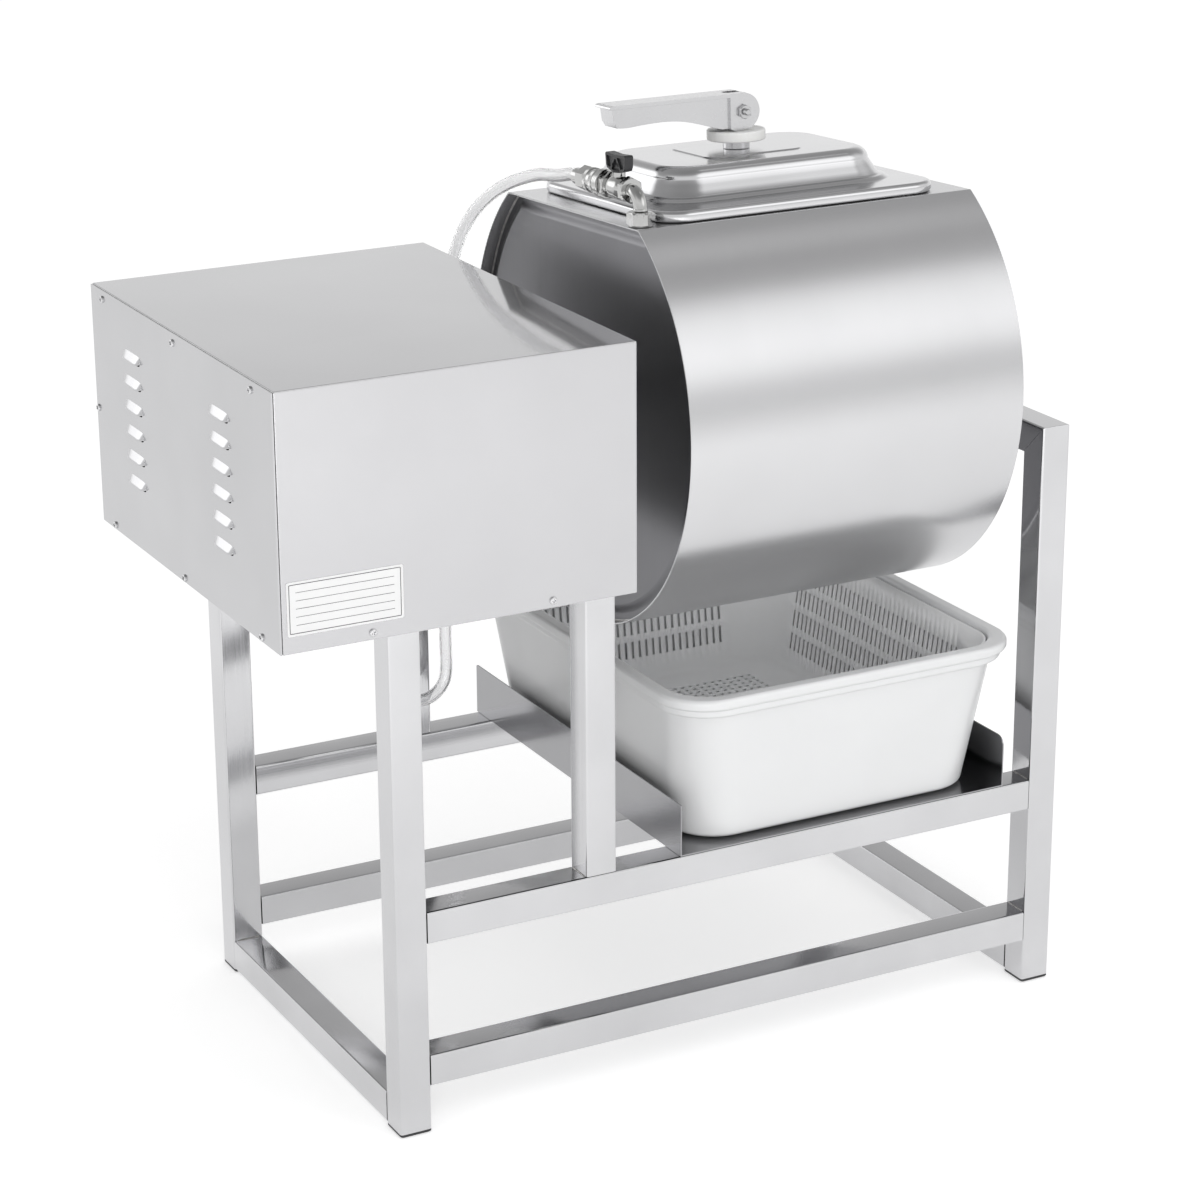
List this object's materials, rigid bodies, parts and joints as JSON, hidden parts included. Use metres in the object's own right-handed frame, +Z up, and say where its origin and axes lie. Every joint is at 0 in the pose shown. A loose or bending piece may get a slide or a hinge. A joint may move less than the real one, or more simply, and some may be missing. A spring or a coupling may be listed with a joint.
{
  "type": "meat vacuum tumbler",
  "caption": "Motor-driven marinating drum with a clamped lid, vacuum valve and hose, on a square-tube stand with a drive housing, tray and draw-out basin.",
  "frame": {"origin": "on the floor, at the middle of the machine's footprint box", "axes": "+X along the drum's axis from the housing to the right posts, -Y the front where the basin is drawn out, +Z up"},
  "size_m": [0.7846, 0.448, 0.8437],
  "materials": {
    "tube_steel": "satin stainless tube",
    "sheet_steel": "bright stainless sheet",
    "drum_steel": "stainless brushed round the drum",
    "end_steel": "dark satin stainless",
    "lid_steel": "pressed bright stainless",
    "bright_steel": "turned stainless",
    "cast_alloy": "satin cast alloy",
    "plated_brass": "nickel plated brass",
    "black_plastic": "moulded, matt black",
    "white_plastic": "translucent white moulding",
    "nylon": "white nylon",
    "rubber": "soft, dark",
    "clear_hose": "clear soft hose",
    "motor_paint": "dark blue enamel",
    "cast_iron": "oiled"
  },
  "bodies": {
    "frame": {"front_left_leg": "tube_steel", "back_left_leg": "tube_steel", "front_mid_post": "tube_steel", "back_mid_post": "tube_steel", "front_right_post": "tube_steel", "back_right_post": "tube_steel", "front_middle_rail": "tube_steel", "back_middle_rail": "tube_steel", "front_bottom_rail": "tube_steel", "back_bottom_rail": "tube_steel", "left_side_rail": "tube_steel", "right_side_rail": "tube_steel", "left_bearing_rail": "tube_steel", "right_bearing_rail": "tube_steel", "foot_front_left": "black_plastic", "foot_back_left": "black_plastic", "foot_front_right": "black_plastic", "foot_back_right": "black_plastic", "housing_shell": "sheet_steel", "left_end_cover": "sheet_steel", "right_end_plate": "sheet_steel", "housing_floor": "sheet_steel", "gear_motor": "motor_paint", "drive_chain": "cast_iron", "left_pillow_block": "cast_iron", "right_pillow_block": "cast_iron", "vacuum_pump": "black_plastic", "suction_port": "plated_brass", "switch_plate": "black_plastic", "mains_gland": "black_plastic", "drip_tray": "sheet_steel", "vacuum_hose": "clear_hose"},
    "drum": {"drum_shell": "drum_steel", "drum_left_end": "end_steel", "drum_right_end": "end_steel", "left_shaft": "bright_steel", "right_shaft": "bright_steel", "front_paddle": "drum_steel", "back_paddle": "drum_steel", "drum_sprocket": "cast_iron", "valve_bush": "plated_brass", "valve_elbow": "plated_brass", "valve_body": "plated_brass", "coupler_body": "plated_brass", "hose_nut": "plated_brass"},
    "motor_wheel": {"motor_sprocket": "cast_iron"},
    "lid": {"lid_pan": "lid_steel", "lid_gasket": "rubber"},
    "lock": {"lock_stud": "bright_steel", "nylon_disc": "nylon", "catch_bar": "bright_steel"},
    "lever": {"cam_lever": "cast_alloy", "lever_pin": "bright_steel"},
    "valve_tap": {"valve_handle": "black_plastic"},
    "sleeve": {"coupler_sleeve": "plated_brass"},
    "basin": {"basin": "white_plastic", "basket": "white_plastic"},
    "drum_switch": {"drum_rocker": "black_plastic"},
    "pump_switch": {"pump_rocker": "black_plastic"},
    "timer": {"timer_knob": "black_plastic"}
  },
  "joints": [
    {"name": "drum_spin", "type": "hinge", "parent": "frame", "child": "drum", "pos_m": [0.16515, 0, 0.5837], "axis": [1, 0, 0], "continuous": true, "deforming": ["vacuum_hose"]},
    {"name": "motor_wheel_spin", "type": "hinge", "parent": "frame", "child": "motor_wheel", "pos_m": [-0.1362, -0.12, 0.5349], "axis": [1, 0, 0], "continuous": true},
    {"name": "lid_lift", "type": "slide", "parent": "drum", "child": "lid", "axis": [0, 0.0532, 0.9986], "range_m": [0, 0.08]},
    {"name": "lock_turn", "type": "hinge", "parent": "lid", "child": "lock", "pos_m": [0.16515, 0.01112, 0.7923], "axis": [0, 0.0532, 0.9986], "range_deg": [0, 90]},
    {"name": "lever_pivot", "type": "hinge", "parent": "lock", "child": "lever", "pos_m": [0.16515, 0.01292, 0.82616], "axis": [0, -0.9986, 0.0532], "range_deg": [-95, 0]},
    {"name": "valve_turn", "type": "hinge", "parent": "drum", "child": "valve_tap", "pos_m": [0.0058, -0.06063, 0.79893], "axis": [0, 0.0532, 0.9986], "range_deg": [0, 90]},
    {"name": "sleeve_slide", "type": "slide", "parent": "drum", "child": "sleeve", "axis": [0, -0.9986, 0.0532], "range_m": [0, 0.004], "stiffness_N_per_m": 400},
    {"name": "basin_slide", "type": "slide", "parent": "frame", "child": "basin", "axis": [0, -1, 0], "range_m": [0, 0.42]},
    {"name": "drum_rocker_tilt", "type": "hinge", "parent": "frame", "child": "drum_switch", "pos_m": [-0.2562, 0.20965, 0.628], "axis": [1, 0, 0], "range_deg": [0, 14]},
    {"name": "pump_rocker_tilt", "type": "hinge", "parent": "frame", "child": "pump_switch", "pos_m": [-0.2282, 0.20965, 0.628], "axis": [1, 0, 0], "range_deg": [0, 14]},
    {"name": "timer_turn", "type": "hinge", "parent": "frame", "child": "timer", "pos_m": [-0.1622, 0.20965, 0.628], "axis": [0, 1, 0], "range_deg": [0, 270]}
  ],
  "couplings": [
    {"joint": "motor_wheel_spin", "follows": "drum_spin", "ratio": 2}
  ]
}
